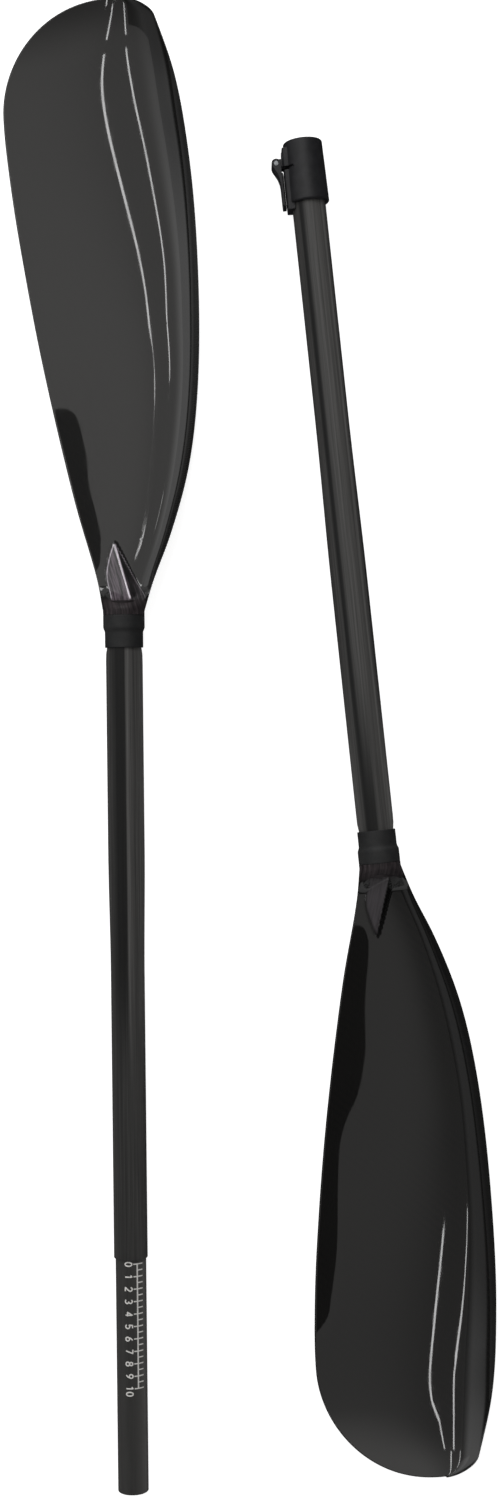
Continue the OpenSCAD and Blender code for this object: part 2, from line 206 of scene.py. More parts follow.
def refined(profile, step):
    """A closed loop of (radius, y) with its long straight runs cut into shorter ones."""
    out = []
    for a, b in zip(profile, np.roll(profile, -1, axis=0)):
        n = max(1, int(np.linalg.norm(b - a) // step))
        out += [a + (b - a) * i / n for i in range(n)]
    return np.array(out)


def joined(*solids):
    """Several (points, faces) as one."""
    points, faces, at = [], [], 0
    for p, f in solids:
        points.append(np.asarray(p, float))
        faces += [list(np.asarray(face) + at) for face in f]
        at += len(p)
    return np.concatenate(points), faces


# --- Blade surfaces ----------------------------------------------------------------


def ease(t):
    """From 0 to 1 as t does, slow at both ends."""
    c = np.clip(t, 0, 1)
    return c * c * (3 - 2 * c)


def curve(points, blur=7.0):
    """A smooth function through (u, value) points: a cubic through them, then softened."""
    p = np.array(points, float)
    x, y = p[:, 0], p[:, 1]
    lo = np.maximum(np.arange(len(x)) - 1, 0)
    hi = np.minimum(np.arange(len(x)) + 1, len(x) - 1)
    slope = (y[hi] - y[lo]) / (x[hi] - x[lo])
    step = 0.5
    us = np.arange(-60, BLADE_LEN + 60, step)
    i = np.clip(np.searchsorted(x, us, side="right") - 1, 0, len(x) - 2)
    h = x[i + 1] - x[i]
    t = np.clip((us - x[i]) / h, 0, 1)
    s = 1 - t
    raw = ((1 + 2 * t) * s * s * y[i] + t * s * s * h * slope[i]
           + t * t * (3 - 2 * t) * y[i + 1] - t * t * s * h * slope[i + 1])
    raw = raw + slope[0] * np.minimum(us - x[0], 0) + slope[-1] * np.maximum(us - x[-1], 0)
    reach = np.arange(-40, 40 + step, step)
    weight = np.exp(-0.5 * (reach / blur) ** 2)
    soft = np.convolve(raw, weight / weight.sum(), mode="same")
    return lambda u: np.interp(np.clip(u, 0, BLADE_LEN), us, soft)


CORNER_U = 395.0
CORNER_R = BLADE_LEN - CORNER_U
# The blade's two edges, its valley and its thickness as (u, value) points
trail_edge = curve([(0, 16.5), (26, 21.3), (90, 39.3), (200, 64.2), (300, 82.2), (360, 90.3),
                    (CORNER_U, CORNER_R), (BLADE_LEN, CORNER_R)])
lead_edge = curve([(0, 16.5), (26, 24.3), (58, 36.9), (106, 50.9), (154, 58.4), (218, 61.9),
                   (298, 60.5), (362, 55.4), (426, 44.8), (474, 28.8), (BLADE_LEN, 22.5)])
valley_line = curve([(0, 0), (26, 8), (58, 18), (106, 26), (190, 32), (240, 28.5), (290, 23),
                     (376, 5.5), (426, -2.4), (BLADE_LEN, 0)], 12)
valley_depth = curve([(0, 0.06), (40, 0.3), (100, 0.58), (180, 0.85), (260, 1), (340, 0.98),
                      (420, 0.79), (470, 0.55), (BLADE_LEN, 0.4)], 14)
valley_radius = curve([(0, 60), (58, 80), (190, 118), (240, 150), (290, 204), (376, 260),
                       (426, 236), (450, 180), (BLADE_LEN, 110)], 12)
body_thickness = curve([(0, 1.5), (60, 1.25), (150, 1), (350, 0.92), (440, 0.62), (BLADE_LEN, 0.3)], 12)


def close_tip(u, start):
    """An edge's share of its width, which falls away to nothing in an oval from start to the tip."""
    return np.sqrt(np.clip(1 - (np.maximum(u - start, 0) / (BLADE_LEN - start)) ** 2, 0, 1))


def trail(u):
    return -trail_edge(u) * close_tip(u, CORNER_U)


def lead(u):
    return lead_edge(u) * close_tip(u, BLADE_LEN - LEAD_CORNER)


def across(u, t):
    """The v of a place that is t across the blade, from -1 at the trailing edge to 1 at the leading one."""
    return trail(u) + (lead(u) - trail(u)) * (t + 1) / 2


def face(u, v):
    """Height of the scooped face: flat towards the trailing edge and curled towards the leading one."""
    w = v - valley_line(u)
    r = valley_radius(u)
    a = FLAT_SLOPE * r
    flat = FLAT_SLOPE * (np.sqrt(w * w + a * a) - a)
    reach = np.maximum(lead(u) - valley_line(u), 1)
    # The curl grows out of the neck and dies down towards the tip
    rise = CURL_HEIGHT * ease((u + 20) / 110) * (1 - 0.75 * ease((u - 390) / 98))
    curl = w * w / (2 * r) + rise * np.maximum(w / reach, 0) ** CURL_POWER
    return -SCOOP_DEPTH * valley_depth(u) + np.where(w < 0, flat, curl)


def steepness(u, v):
    """How many times as tall as thick a skin is there, because the face slopes."""
    return np.hypot(1, np.minimum(2, np.abs(face(u, v + 0.5) - face(u, v - 0.5))))


# The ridge is a roof over the neck that runs out to a point: its crest and the feet of its two sides
RIDGE_TOP = 14.2
RIDGE_TIP_U = 57.0
RIDGE_TIP_V = -8.2
crest_line = curve([(0, 8.5), (RIDGE_TIP_U, RIDGE_TIP_V), (BLADE_LEN, -134)], 1)
left_foot = curve([(0, -8), (12, -10.8), (20, -13.2), (30, -15.0), (41, -13.4), (51, -10.8), (57, -8.6),
                   (BLADE_LEN, 140)], 2.5)
right_foot = curve([(0, 20), (12, 17.6), (23, 10.8), (33, 5.6), (41, 1.4), (49, -3.2), (57, -7.8),
                    (BLADE_LEN, -260)], 2.5)
RIDGE_FALL = 0.92
CREST_ROUND = 0.35
FOOT_ROUND = 0.5
FOOT_SUNK = 0.4
LEAST_REACH = 0.3
STEEPEST = 3.5
NO_RIDGE = -200.0
# The roof counts as the ridge fully where it is this far above the face
FULLY_RAISED = 1.2
# The right blade's steep side against the left one's
RIGHT_NARROWER = 0.5


def soft_max(a, b, r):
    """The larger of the two, with the corner between them rounded over about r."""
    return (a + b + np.sqrt((a - b) ** 2 + r * r)) / 2


def roof(u, v, side):
    """Height of the ridge's roof, far below the blade where there is none."""
    crest = crest_line(u)
    tip = face(RIDGE_TIP_U, RIDGE_TIP_V)
    top = RIDGE_TOP + (tip - RIDGE_TOP) * (np.clip(u, 0, RIDGE_TIP_U + 3) / RIDGE_TIP_U) ** RIDGE_FALL
    steep_foot = right_foot(u)
    if side == "right":
        steep_foot = crest + RIGHT_NARROWER * (steep_foot - crest)
    sides = []
    for foot in (left_foot(u), steep_foot):
        reach = foot - crest
        reach = np.where(reach < 0, np.minimum(reach, -LEAST_REACH), np.maximum(reach, LEAST_REACH))
        slope = (face(u, foot) - FOOT_SUNK - top) / reach
        sides.append(top + np.clip(slope, -STEEPEST, STEEPEST) * (v - crest))
    low = -soft_max(-sides[0], -sides[1], CREST_ROUND * 2)
    return np.where(u < RIDGE_TIP_U + 0.5, low, NO_RIDGE)


# Where the flat side turns a little steeper towards the trailing edge, and by how much
left_shoulder = curve([(0, -14), (56, -18), (73, -22), (100, -29), (126, -31), (141, -34), (154, -36.5),
                       (163, -41), (170, -52), (BLADE_LEN, -120)], 3)
right_shoulder = curve([(0, -8), (49, -14.5), (65, -16.5), (103, -24.5), (147, -29), (164, -33), (182, -39),
                        (194, -46.5), (214, -54.5), (249, -59.5), (302, -65.5), (341, -73), (357, -77),
                        (372, -92), (BLADE_LEN, -120)], 3)


def left_turn(u):
    return 0.016 * ease((u - 20) / 20) * (1 - ease((u - 155) / 20))


def right_turn(u):
    return (0.03 + 0.035 * ease((u - 216) / 100)) * ease((u - 30) / 30) * (1 - ease((u - 365) / 30))


SHOULDERS = {"left": (left_shoulder, left_turn), "right": (right_shoulder, right_turn)}
SHOULDER_ROUND = 1.5
# The face leaves the round neck sooner than the back does
FACE_BLEND = 20.0
# Rounding along a skin's rim, a little less than the skin is thick
SKIN_RIM = 0.78
# The bore for the shaft ends just before this row
BORE_END = 8.06
TIP_GAP = 0.03


def shoulder(u, v, side):
    """How much higher the flat side is for that turn."""
    line, turn = SHOULDERS[side]
    return turn(u) * soft_max(line(u) - v, 0, SHOULDER_ROUND * 2)


def spine(u, v):
    """Depth of the swelling that carries the neck into the back."""
    return SPINE_H * (1 - ease(u / SPINE_LEN)) * np.exp(-(v / SPINE_HALF) ** 2)


def thickness(u, t):
    """How thick the blade is over its core, down to its edges."""
    full = np.maximum(EDGE_T, CORE_T * body_thickness(u))
    return EDGE_T + (full - EDGE_T) * np.maximum(0, 1 - t * t) ** FULLNESS


def neck_share(u, length=NECK_BLEND):
    """How much of the section is still the round neck's."""
    return 1 - ease((u - 1) / length)


def neck_half(t):
    """Half the height of the round neck."""
    return SKIN_T + (NECK_R - SKIN_T) * np.sqrt(np.maximum(0, 1 - t * t))


def blade_grids(side):
    """A blade's two skins as four grids of points: outer face, inner face, inner back and outer back.
    With them comes how far the face is raised by the ridge, from 0 to 1.
    """
    # Rows: close together at the neck and the ridge, wider apart, and closing up round the tip's corner
    rows = np.concatenate([
        np.arange(BLADE_START, 8.05, 0.85), [BORE_END],
        np.arange(8.7, 70, 0.75), np.arange(70, CORNER_U, 4),
        CORNER_U + CORNER_R * np.sin(np.pi / 2 * np.linspace(0, 1, 56))])
    rows[-1] = BLADE_LEN - TIP_GAP
    t = -np.cos(np.pi * np.linspace(0, 1, 61))
    u, t = np.meshgrid(rows, t, indexing="ij")
    v = across(u, t)
    share = neck_share(u)
    short = neck_share(u, FACE_BLEND)
    top = (face(u, v) + shoulder(u, v, side)) * (1 - short) + neck_half(t) * short
    top = np.where(u > 1, soft_max(top, roof(u, v, side), FOOT_ROUND * ease((u - 1) / 6)), top)
    under = face(u, v) - thickness(u, t) * steepness(u, v) - spine(u, v)
    bottom = under * (1 - share) - neck_half(t) * share
    part = (top + bottom) / 2
    solid = 1 - ease((u - SOLID_END) / (HOLLOW_START - SOLID_END))
    wall = (SKIN_T + NECK_R * solid) * steepness(u, v)
    inner_top = np.maximum(part + GLUE / 2, top - wall)
    inner_bottom = np.minimum(part - GLUE / 2, bottom + wall)
    bore = np.sqrt(np.maximum(0, (SHAFT_R + GLUE) ** 2 - v * v))
    inner_top = np.where(u < BORE_END, np.maximum(inner_top, bore), inner_top)
    inner_bottom = np.where(u < BORE_END, np.minimum(inner_bottom, -bore), inner_bottom)
    # The rim is rounded: both skins fall away from their outer surfaces near the outline
    outline_u = np.concatenate([rows, rows[::-1]])
    outline_v = np.concatenate([trail(rows), lead(rows[::-1])])
    gap = np.full(u.shape, np.inf)
    for a in range(len(outline_u) - 1):
        p, q = np.array([outline_u[a], outline_v[a]]), np.array([outline_u[a + 1], outline_v[a + 1]])
        d = q - p
        s = np.clip(((u - p[0]) * d[0] + (v - p[1]) * d[1]) / max(d @ d, 1e-9), 0, 1)
        gap = np.minimum(gap, np.hypot(u - p[0] - s * d[0], v - p[1] - s * d[1]))
    edge = np.clip(gap, 0, SKIN_RIM)
    drop = (SKIN_RIM - np.sqrt(SKIN_RIM ** 2 - (SKIN_RIM - edge) ** 2)) * ease((u - 4) / 20)
    raised = np.clip((roof(u, v, side) - face(u, v)) / FULLY_RAISED, 0, 1) * (u > 1)
    heights = (top - drop, inner_top, inner_bottom, bottom + drop)
    return [np.stack([v, u, z], -1) for z in heights], raised


# Half the gap, in radians, between the two halves of a neck's socket
HALF_SEAM = 0.0018


def half_tube(sign):
    """The neck's socket under the sleeve, on one side of the parting plane."""
    angle = np.linspace(HALF_SEAM, np.pi - HALF_SEAM, 33) * sign
    inner, start, end = SHAFT_R + GLUE, NECK_SOCKET_START, BLADE_START - 2 * GLUE
    rings = [(inner, start), (NECK_SOCKET_R, start), (NECK_SOCKET_R, end), (inner, end)]
    points = np.array([[(r * np.cos(a), y, r * np.sin(a)) for a in angle] for r, y in rings])
    n = len(angle)
    faces = list(grid_faces(5, n) % (4 * n))
    faces += [[0, n, 2 * n, 3 * n], [n - 1, 4 * n - 1, 3 * n - 1, 2 * n - 1]]
    return points.reshape(-1, 3), faces


def mirrored(solid):
    """The left half's shape as the right half's."""
    points, faces = solid
    return np.asarray(points) * (-1, 1, 1), faces


# --- Materials ---------------------------------------------------------------------


class Nodes:
    """Short ways to write a node material, or the nodes of a light or the room."""

    def __init__(self, owner):
        self.mat = bpy.data.materials.new(owner) if isinstance(owner, str) else owner
        self.mat.use_nodes = True
        self.tree = self.mat.node_tree
        self.shader = self.tree.nodes.get("Principled BSDF")

    def put(self, value, socket):
        """A link if the value is another node's socket, else a constant; None leaves the socket alone."""
        if isinstance(value, bpy.types.NodeSocket):
            self.tree.links.new(value, socket)
        elif value is not None:
            socket.default_value = value

    def node(self, kind, out=0, settings=(), **inputs):
        """One of a new node's outputs; i0, i1 and so on are inputs by number, the others go by name."""
        n = self.tree.nodes.new(kind)
        for key, value in dict(settings).items():
            setattr(n, key, value)
        for key, value in inputs.items():
            key = int(key[1:]) if key[0] == "i" and key[1:].isdigit() else key.replace("_", " ")
            self.put(value, n.inputs[key])
        return n.outputs[out]

    def math(self, op, a, b=None):
        return self.node("ShaderNodeMath", settings={"operation": op}, i0=a, i1=b)

    def mix(self, share, a, b):
        n = self.tree.nodes.new("ShaderNodeMix")
        n.data_type = "RGBA"
        for value, key in ((share, 0), (a, 6), (b, 7)):
            self.put(value, n.inputs[key])
        return n.outputs[2]

    def spread(self, value, low, high, to_low=0.0, to_high=1.0):
        return self.node("ShaderNodeMapRange", i0=value, i1=low, i2=high, i3=to_low, i4=to_high)

    def parts(self, vector, scale=1.0):
        n = self.tree.nodes.new("ShaderNodeSeparateXYZ")
        self.put(vector, n.inputs[0])
        return [self.math("MULTIPLY", n.outputs[i], scale) for i in range(3)]

    def in_half(self):
        """The place in millimetres in a half's frame, on a piece made by make_piece."""
        return self.parts(self.node("ShaderNodeAttribute", "Vector", {"attribute_name": "half"}))

    def in_object(self):
        """The place in millimetres in the object's own frame."""
        return self.parts(self.node("ShaderNodeTexCoord", "Object"), 1 / MM)

    def ramp(self, value, low, high, to_low=0.0, to_high=1.0):
        """As spread, but it eases in and out."""
        return self.node("ShaderNodeMapRange", settings={"interpolation_type": "SMOOTHSTEP"},
                         i0=value, i1=low, i2=high, i3=to_low, i4=to_high)

    def bands(self, value, stops):
        """Warm greys blended between (-1 to 1, tone) stops."""
        n = self.tree.nodes.new("ShaderNodeValToRGB")
        points = n.color_ramp.elements
        while len(points) < len(stops):
            points.new(0.5)
        for point, (place, tone) in zip(points, stops):
            point.position = (place + 1) / 2
            point.color = rgb(tone * 1.01, tone, tone * 0.985)
        self.put(value, n.inputs[0])
        return n.outputs[0]

    def join(self, x, y, z=0.0):
        return self.node("ShaderNodeCombineXYZ", i0=x, i1=y, i2=z)

    def noise(self, vector, scale, detail=3.0, rough=0.5):
        return self.node("ShaderNodeTexNoise", "Fac", Vector=vector, Scale=scale, Detail=detail,
                         Roughness=rough)

    def bump(self, height, distance, strength):
        return self.node("ShaderNodeBump", Height=height, Distance=distance, Strength=strength)

    def twill(self, x, y, tow):
        """A 2x2 twill of tows that wide: how much the warp shows, and the height of the cloth."""
        p, q = self.math("DIVIDE", x, tow), self.math("DIVIDE", y, tow)
        count = self.math("ADD", self.math("FLOOR", p), self.math("FLOOR", q))
        over = self.math("LESS_THAN", self.math("FLOORED_MODULO", count, 4.0), 2.0)
        fp, fq = self.math("FRACT", p), self.math("FRACT", q)
        across_warp = self.math("PINGPONG", fp, 0.5)
        across_weft = self.math("PINGPONG", fq, 0.5)
        n = self.tree.nodes.new("ShaderNodeMix")
        for value, key in ((over, 0), (across_weft, 2), (across_warp, 3)):
            self.put(value, n.inputs[key])
        return over, n.outputs[0]

    def finish(self, color, rough, normal=None, **constants):
        self.put(color, self.shader.inputs["Base Color"])
        self.put(rough, self.shader.inputs["Roughness"])
        if normal is not None:
            self.put(normal, self.shader.inputs["Normal"])
        for key, value in constants.items():
            self.shader.inputs[key.replace("_", " ")].default_value = value
        return self.mat


def rgb(r, g, b):
    """A colour from its usual 0 to 255 values."""
    lin = [c / 255 / 12.92 if c <= 10 else ((c / 255 + 0.055) / 1.055) ** 2.4 for c in (r, g, b)]
    return (*lin, 1.0)


def gloss_carbon():
    """Twill under a clear coat. The mark "ridge" is up to 1 on a ridge of streaky tows, with a painted reflection
    lightening its gentle side, painted shade on its steep side and painted highlights along its edges, and down to
    -1 on a plain one, whose gentle side has a painted reflection too.
    """
    m = Nodes("gloss_carbon")
    x, y, z = m.in_half()
    over, cloth = m.twill(x, y, 2.0)
    wave = m.noise(m.join(x, y, z), 0.02, 2.0)
    warp = m.mix(m.spread(wave, 0.3, 0.7), rgb(13, 13, 13), rgb(18, 17, 16))
    weft = m.mix(m.spread(wave, 0.3, 0.7), rgb(18, 17, 16), rgb(16, 16, 15))
    color = m.mix(over, warp, weft)
    ridge = m.node("ShaderNodeAttribute", "Fac", {"attribute_name": "ridge"})
    off_crest = m.node("ShaderNodeAttribute", "Fac", {"attribute_name": "off_crest"})
    lengthways = m.join(m.math("MULTIPLY", off_crest, 0.55), m.math("MULTIPLY", y, 0.035))
    streaks = m.noise(lengthways, 1.0, 4.0, 0.6)
    # Streaky tows on the ridge, lightened by a painted reflection on its gentle side
    tows_and_reflection = m.mix(m.spread(streaks, 0.42, 0.6), rgb(18, 15, 17), rgb(88, 78, 86))
    # Painted shade: the ridge's steep side gets darker streaks
    shaded_side = m.ramp(off_crest, 0.5, 2.5)
    tows_and_reflection = m.mix(shaded_side, tows_and_reflection, m.mix(m.spread(streaks, 0.5, 0.75), rgb(22, 20, 21), rgb(88, 80, 86)))
    color = m.mix(ridge, color, tows_and_reflection)
    # A plain ridge's gentle side gets paler streaks, a painted reflection
    plain = m.math("MULTIPLY", m.math("MULTIPLY", ridge, -1.0), m.ramp(off_crest, -1.0, 0.5, 1.0, 0.0))
    plain_tows_and_reflection = m.mix(m.spread(streaks, 0.38, 0.62), rgb(46, 42, 45), rgb(58, 54, 57))
    color = m.mix(m.math("MAXIMUM", plain, 0.0), color, plain_tows_and_reflection)
    # Painted highlights: pale lines along the ridge's feet, weaker on its steep side, and along its crest
    foot = m.math("SUBTRACT", 1.0, m.math("ABSOLUTE", m.spread(ridge, 0.15, 0.75, -1.0, 1.0)))
    foot = m.math("MULTIPLY", foot, m.spread(streaks, 0.3, 0.6, 0.35, 0.9))
    crest = m.math("MULTIPLY", m.ramp(m.math("ABSOLUTE", off_crest), 0.35, 0.95, 1.0, 0.0), ridge)
    wear_and_highlight = m.math("MAXIMUM", m.math("MULTIPLY", foot, m.ramp(off_crest, -3.0, 3.0, 1.0, 0.35)), crest)
    wear_and_highlight = m.math("MULTIPLY", wear_and_highlight, m.ramp(y, 8.0, 11.0))
    # The painted highlights are mixed in as a pale grey
    color = m.mix(wear_and_highlight, color, rgb(205, 196, 205))
    raw = m.ramp(m.math("ADD", y, m.math("MULTIPLY", streaks, 6.0)), 10.0, 14.0, 1.0, 0.0)
    color = m.mix(raw, color, m.mix(m.spread(streaks, 0.4, 0.7), rgb(30, 27, 28), rgb(62, 56, 58)))
    under = m.bump(cloth, 0.00002, 0.25)
    orange_peel = m.bump(m.noise(m.join(x, y, z), 0.04, 1.0), 0.00004, 0.06)
    scuffs = m.noise(m.join(m.math("MULTIPLY", x, 0.25), m.math("MULTIPLY", y, 0.02), z), 1.0, 5.0)
    m.put(m.spread(scuffs, 0.35, 0.75, 0.015, 0.05), m.shader.inputs["Coat Roughness"])
    m.put(orange_peel, m.shader.inputs["Coat Normal"])
    m.put(m.math("SUBTRACT", 1.0, raw), m.shader.inputs["Coat Weight"])
    rough = m.spread(cloth, 0.0, 0.5, 0.5, 0.38)
    return m.finish(color, rough, under, Coat_IOR=1.5, Specular_IOR_Level=0.1)


# Half the length over which a shaft's painted light and shade change
SHIFT_HALF = 70.0


def satin_carbon(name, way, near, far, shift):
    """A wound and ground tube with a satin finish, with light and shade painted in bands round it.

    near and far are its painted light and shade next to the neck and away from it, as (-1 to 1 across its top,
    tone), and they change over about y = shift. way is -1 where its own X points to the left of the picture.
    """
    m = Nodes(name)
    x, y, z = m.in_half()
    angle = m.math("MULTIPLY", m.math("ARCTAN2", z, x), SHAFT_R)
    over, cloth = m.twill(m.math("ADD", angle, y), m.math("SUBTRACT", angle, y), 1.7)
    fibre = m.noise(m.join(m.math("MULTIPLY", angle, 0.9), m.math("MULTIPLY", y, 0.012)), 1.0, 4.0)
    grain = m.noise(m.join(x, y, z), 2.2, 2.0)
    at = m.spread(m.math("MULTIPLY", x, way / SHAFT_R), -1.0, 1.0)
    # tone is the painted light and shade, blended from near to far
    tone = m.mix(m.ramp(y, shift - SHIFT_HALF, shift + SHIFT_HALF), m.bands(at, far), m.bands(at, near))
    checks = m.mix(over, rgb(240, 240, 240), rgb(255, 255, 255))
    streaked = m.math("MULTIPLY", m.spread(fibre, 0.3, 0.7, 0.72, 1.28), checks)
    color = m.node("ShaderNodeVectorMath", settings={"operation": "SCALE"}, i0=tone, Scale=streaked)
    height = m.math("ADD", m.math("MULTIPLY", cloth, 0.6), m.math("MULTIPLY", grain, 0.5))
    rough = m.spread(grain, 0.3, 0.7, 0.36, 0.5)
    return m.finish(color, rough, m.bump(height, 0.00005, 0.5), Specular_IOR_Level=0.2)


def ferrule_carbon():
    """A tube ground to size: smooth, with faint rings left by the grinding and lengthwise wear, and with light and
    shade painted in bands round it.
    """
    m = Nodes("ferrule_carbon")
    x, y, z = m.in_half()
    rings = m.noise(m.join(m.math("MULTIPLY", x, 0.05), m.math("MULTIPLY", y, 3.0), 0.0), 1.0, 3.0)
    lengthways = m.join(m.math("MULTIPLY", x, 0.6), m.math("MULTIPLY", y, 0.03), m.math("MULTIPLY", z, 0.6))
    # Lengthwise wear streaks
    wear_and_highlight = m.noise(lengthways, 1.0, 4.0)
    at = m.spread(m.math("MULTIPLY", x, 1 / FERRULE_R), -1.0, 1.0)
    # Painted light and shade across the tube, lighter towards its +X side
    tone = m.bands(at, [(-1, 62), (-0.7, 52), (-0.2, 46), (0.2, 54), (0.6, 74), (0.85, 86), (1, 70)])
    color = m.mix(m.spread(wear_and_highlight, 0.35, 0.7, 0.0, 0.25), tone, rgb(66, 65, 63))
    rough = m.spread(rings, 0.3, 0.7, 0.36, 0.48)
    return m.finish(color, rough, m.bump(rings, 0.00002, 0.3), Specular_IOR_Level=0.22)


def black_rubber():
    """Shrunk rubber: matte, softly dimpled, a little dusty."""
    m = Nodes("black_rubber")
    x, y, z = m.in_half()
    skin = m.noise(m.join(x, y, z), 1.6, 4.0)
    dust = m.noise(m.join(x, y, z), 0.12, 3.0)
    color = m.mix(m.spread(dust, 0.3, 0.75), rgb(22, 23, 24), rgb(33, 33, 33))
    return m.finish(color, m.spread(skin, 0.3, 0.7, 0.6, 0.78), m.bump(skin, 0.00012, 0.5),
                    Specular_IOR_Level=0.35)


def nylon(name, tone):
    """Moulded nylon: spark-eroded grain, with slightly polished high spots."""
    m = Nodes(name)
    x, y, z = m.in_object()
    grain = m.noise(m.join(x, y, z), 3.0, 3.0)
    patch = m.noise(m.join(x, y, z), 0.15, 2.0)
    color = m.mix(m.spread(patch, 0.3, 0.7), rgb(tone - 4, tone - 4, tone - 2),
                  rgb(tone + 4, tone + 4, tone + 6))
    return m.finish(color, m.spread(grain, 0.3, 0.7, 0.42, 0.58), m.bump(grain, 0.00006, 0.5),
                    Specular_IOR_Level=0.25)


def pin_steel():
    """Turned stainless steel with fine lathe rings."""
    m = Nodes("pin_steel")
    x, y, _ = m.in_object()
    from_axis = m.math("SQRT", m.math("ADD", m.math("MULTIPLY", x, x), m.math("MULTIPLY", y, y)))
    rings = m.noise(m.join(m.math("MULTIPLY", from_axis, 9.0), 0.0), 1.0, 3.0)
    color = m.mix(m.spread(rings, 0.3, 0.7), rgb(106, 108, 110), rgb(128, 130, 132))
    return m.finish(color, m.spread(rings, 0.3, 0.7, 0.3, 0.45), m.bump(rings, 0.00002, 0.3), Metallic=1.0)


def foam():
    """Closed-cell foam."""
    m = Nodes("foam")
    x, y, z = m.in_object()
    cells = m.node("ShaderNodeTexVoronoi", "Distance", Vector=m.join(x, y, z), Scale=1.4)
    color = m.mix(m.spread(cells, 0.0, 0.6), rgb(186, 180, 162), rgb(214, 209, 193))
    return m.finish(color, m.spread(cells, 0.0, 0.6, 0.8, 0.95), m.bump(cells, 0.0002, 0.6))


def scale_ink():
    """Light grey ink, printed a little unevenly."""
    m = Nodes("scale_ink")
    x, y, z = m.in_half()
    thin = m.noise(m.join(x, y, z), 1.3, 4.0)
    color = m.mix(m.spread(thin, 0.35, 0.7), rgb(196, 195, 192), rgb(228, 226, 222))
    return m.finish(color, m.spread(thin, 0.3, 0.7, 0.55, 0.7), m.bump(thin, 0.00003, 0.3))


MATERIALS = {
    "gloss_carbon": gloss_carbon(),
    # The two shafts are one carbon; their materials differ only in the light and shade painted round them
    "left_shaft_carbon_painted_light": satin_carbon(
        "left_shaft_carbon_painted_light", 1,
        [(-1, 62), (-0.72, 46), (-0.45, 18), (0.04, 14), (0.15, 82), (0.36, 74), (0.55, 64), (0.85, 74),
         (1, 76)],
        [(-1, 64), (-0.7, 50), (-0.4, 44), (0.2, 54), (0.5, 64), (0.75, 66), (1, 56)], -330),
    "right_shaft_carbon_painted_light": satin_carbon(
        "right_shaft_carbon_painted_light", -1,
        [(-1, 74), (-0.8, 66), (-0.65, 50), (-0.5, 14), (-0.1, 14), (0.04, 22), (0.18, 60), (0.5, 66),
         (0.8, 84), (1, 84)],
        [(-1, 52), (-0.8, 58), (-0.7, 56), (-0.58, 14), (-0.45, 16), (-0.34, 58), (0, 70), (0.4, 76),
         (0.62, 66), (0.72, 84), (0.85, 62), (1, 40)], -105),
    "ferrule_carbon": ferrule_carbon(),
    "black_rubber": black_rubber(),
    "black_plastic": nylon("black_plastic", 27),
    "bush_plastic": nylon("bush_plastic", 66),
    "pin_steel": pin_steel(),
    "foam": foam(),
    "scale_ink": scale_ink(),
}
NODE_SLOTS = {
    "left_blade_core": "foam", "right_blade_core": "foam", "left_shaft_plug": "foam",
    "right_shaft_plug": "foam", "socket_plug": "foam", "ferrule_plug": "black_plastic",
    "clamp_collar": "black_plastic", "pressure_shoe": "bush_plastic", "grip_bush": "bush_plastic",
    "cam_lever": "black_plastic", "lever_pin": "pin_steel",
}
for name, slot in NODE_SLOTS.items():
    node = frame["nodes"][name]
    node.data.materials.clear()
    node.data.materials.append(MATERIALS[slot])

# --- Blades --------------------------------------------------------------------------

for side, placing, shape in (("left", left_half, lambda s: s), ("right", right_half, mirrored)):
    (outer_face, inner_face, inner_back, outer_back), raised = blade_grids(side)
    face_solid = joined(slab(outer_face, inner_face), half_tube(1))
    back_solid = joined(slab(inner_back, outer_back), half_tube(-1))
    for part, solid in (("face", face_solid), ("back", back_solid)):
        points, faces = shape(solid)
        ridge, off_crest = np.zeros((2, len(points)))
        if part == "face":
            ridge[:raised.size] = raised.ravel() * (1 if side == "left" else -1)
            off_crest[:raised.size] = (outer_face[..., 0] - crest_line(outer_face[..., 1])).ravel()
        make_piece(f"{side}_{part}_skin", points, faces, placing, f"{side}_half", MATERIALS["gloss_carbon"],
                   [f"{side}_blade_{part}"], sharp=50,
                   marks={"ridge": ridge, "off_crest": off_crest})

# --- Shafts, sleeves and ferrule --------------------------------------------------------


def grip_width(even, run_out):
    """How much wider than round a shaft is, for its outside only."""
    def wide(r, y):
        swell = ease((GRIP_START - y) / 10 + 0.3) * (1 - ease((GRIP_START - even - y) / run_out))
        return np.where(r > BORE_R + 0.3, 1 + (GRIP_R / SHAFT_R - 1) * swell, 1.0)
    return wide


def shaft_solid(length, grip, bored):
    """A shaft with its oval grip, whose bore is wider over that much of its open end."""
    loop = rounded([(BONDED_R, SHAFT_IN_NECK), (SHAFT_R, SHAFT_IN_NECK), (SHAFT_R, -length),
                    (BORE_R, -length), (BORE_R, bored - length), (BONDED_R, bored - length)],
                   [0.2, 0.2, 0.35, 0.2, 0, 0])
    return turned(refined(loop, 6.0), wide=grip_width(*grip))


def sleeve_solid():
    """The sleeve over a neck's socket and the shaft next to it."""
    inner = SHAFT_R + GLUE
    loop = rounded([(inner, SLEEVE_START), (SLEEVE_R, SLEEVE_START),
                    (SLEEVE_R, NECK_SOCKET_START - 1.2), (NECK_R, NECK_SOCKET_START + 1.4),
                    (NECK_R, BLADE_START - GLUE), (SLEEVE_BORE_R, BLADE_START - GLUE),
                    (SLEEVE_BORE_R, NECK_SOCKET_START - GLUE), (inner, NECK_SOCKET_START - GLUE)],
                   [0, 0.6, 1.6, 1.6, 0.9, 0, 0, 0])
    return turned(refined(loop, 0.9))


def ferrule_solid():
    """The ferrule, a little thinner over the part that is glued into the shaft."""
    inner, end = FERRULE_R - FERRULE_WALL, -LEFT_LEN - FERRULE_OUT
    glued_r, glued_end = FERRULE_R - REAM, FERRULE_IN - LEFT_LEN - GLUE
    loop = rounded([(inner, end), (FERRULE_R, end), (FERRULE_R, -LEFT_LEN), (glued_r, -LEFT_LEN),
                    (glued_r, glued_end), (inner, glued_end)],
                   [0.3, 1.0, 0, 0, 0.2, 0.2])
    return turned(refined(loop, 6.0))


